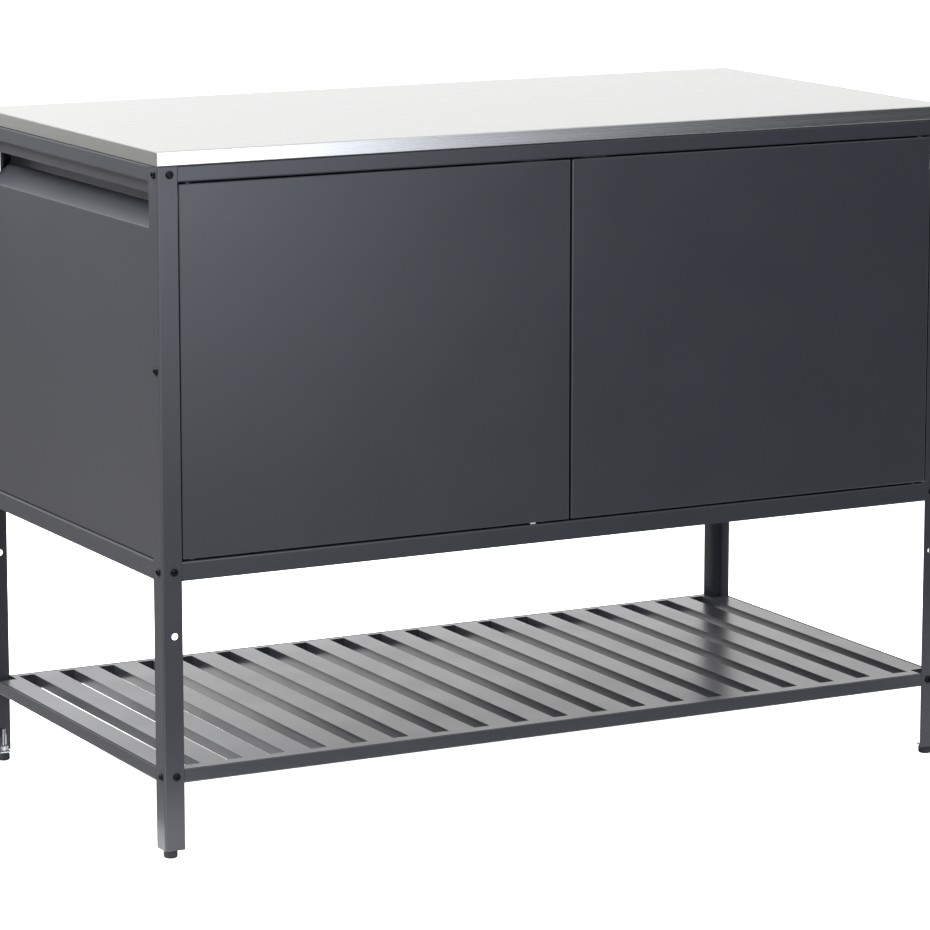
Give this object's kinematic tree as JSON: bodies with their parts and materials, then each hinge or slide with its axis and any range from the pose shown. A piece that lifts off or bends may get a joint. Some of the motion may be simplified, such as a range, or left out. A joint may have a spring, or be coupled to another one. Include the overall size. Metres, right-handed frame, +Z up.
{
  "type": "outdoor work bench",
  "caption": "Outdoor work bench of folded sheet steel: stainless worktop, cabinet with flush doors, slatted lower shelf, angle posts with levelling feet.",
  "frame": {"origin": "on the ground, under the middle of the bench's outline", "axes": "+X along the length, to the right seen from the doors; +Y to the rear, so the doors face -Y; +Z up"},
  "size_m": [1.2, 0.6, 0.925],
  "materials": {
    "brushed_stainless": "stainless sheet, fine linear brushing along the length",
    "black_powder_coat": "satin charcoal powder coat",
    "zinc_plate": "bright zinc plate",
    "black_rubber": "moulded, matte",
    "white_nylon": "moulded, satin",
    "black_nylon": "moulded, satin"
  },
  "bodies": {
    "frame": {"worktop": "brushed_stainless", "worktop_stiffener_left": "zinc_plate", "worktop_stiffener_right": "zinc_plate", "post_front_left": "black_powder_coat", "post_front_right": "black_powder_coat", "post_rear_left": "black_powder_coat", "post_rear_right": "black_powder_coat", "top_rail_front": "black_powder_coat", "top_rail_rear": "black_powder_coat", "top_rail_left": "black_powder_coat", "top_rail_right": "black_powder_coat", "cabinet_rail_front": "black_powder_coat", "cabinet_rail_rear": "black_powder_coat", "cabinet_rail_left": "black_powder_coat", "cabinet_rail_right": "black_powder_coat", "shelf_rail_front": "black_powder_coat", "shelf_rail_rear": "black_powder_coat", "shelf_rail_left": "black_powder_coat", "shelf_rail_right": "black_powder_coat", "slatted_shelf": "black_powder_coat", "side_panel_left": "black_powder_coat", "side_panel_right": "black_powder_coat", "rear_panel_left": "black_powder_coat", "rear_panel_right": "black_powder_coat", "rear_stile": "black_powder_coat", "cabinet_floor": "black_powder_coat", "floor_stiffener": "zinc_plate", "pivot_bush_upper_left": "black_nylon", "pivot_bush_upper_right": "black_nylon", "pivot_bush_lower_left": "black_nylon", "pivot_bush_lower_right": "black_nylon", "magnet_catch_left": "white_nylon", "magnet_catch_right": "white_nylon", "door_glide": "white_nylon", "foot_plate_front_left": "zinc_plate", "foot_plate_front_right": "zinc_plate", "foot_plate_rear_left": "zinc_plate", "foot_plate_rear_right": "zinc_plate", "lock_nut_front_left": "zinc_plate", "lock_nut_front_right": "zinc_plate", "lock_nut_rear_left": "zinc_plate", "lock_nut_rear_right": "zinc_plate"},
    "door_left": {"door_skin_left": "black_powder_coat", "door_liner_left": "black_powder_coat", "pivot_pin_upper_left": "zinc_plate", "pivot_pin_lower_left": "zinc_plate", "strike_plate_left": "zinc_plate"},
    "door_right": {"door_skin_right": "black_powder_coat", "door_liner_right": "black_powder_coat", "pivot_pin_upper_right": "zinc_plate", "pivot_pin_lower_right": "zinc_plate", "strike_plate_right": "zinc_plate"},
    "levelling_foot_front_left": {"foot_front_left": "black_rubber"},
    "levelling_foot_front_right": {"foot_front_right": "black_rubber"},
    "levelling_foot_rear_left": {"foot_rear_left": "black_rubber"},
    "levelling_foot_rear_right": {"foot_rear_right": "black_rubber"}
  },
  "joints": [
    {"name": "door_left_hinge", "type": "hinge", "parent": "frame", "child": "door_left", "pos_m": [-0.5555, -0.292, 0.6395], "axis": [0, 0, -1], "range_deg": [0, 110]},
    {"name": "door_right_hinge", "type": "hinge", "parent": "frame", "child": "door_right", "pos_m": [0.5555, -0.292, 0.6395], "axis": [0, 0, 1], "range_deg": [0, 110]},
    {"name": "foot_front_left_thread", "type": "slide", "parent": "frame", "child": "levelling_foot_front_left", "axis": [0, 0, -1], "range_m": [0, 0.01]},
    {"name": "foot_front_right_thread", "type": "slide", "parent": "frame", "child": "levelling_foot_front_right", "axis": [0, 0, -1], "range_m": [0, 0.01]},
    {"name": "foot_rear_left_thread", "type": "slide", "parent": "frame", "child": "levelling_foot_rear_left", "axis": [0, 0, -1], "range_m": [0, 0.01]},
    {"name": "foot_rear_right_thread", "type": "slide", "parent": "frame", "child": "levelling_foot_rear_right", "axis": [0, 0, -1], "range_m": [0, 0.01]}
  ]
}
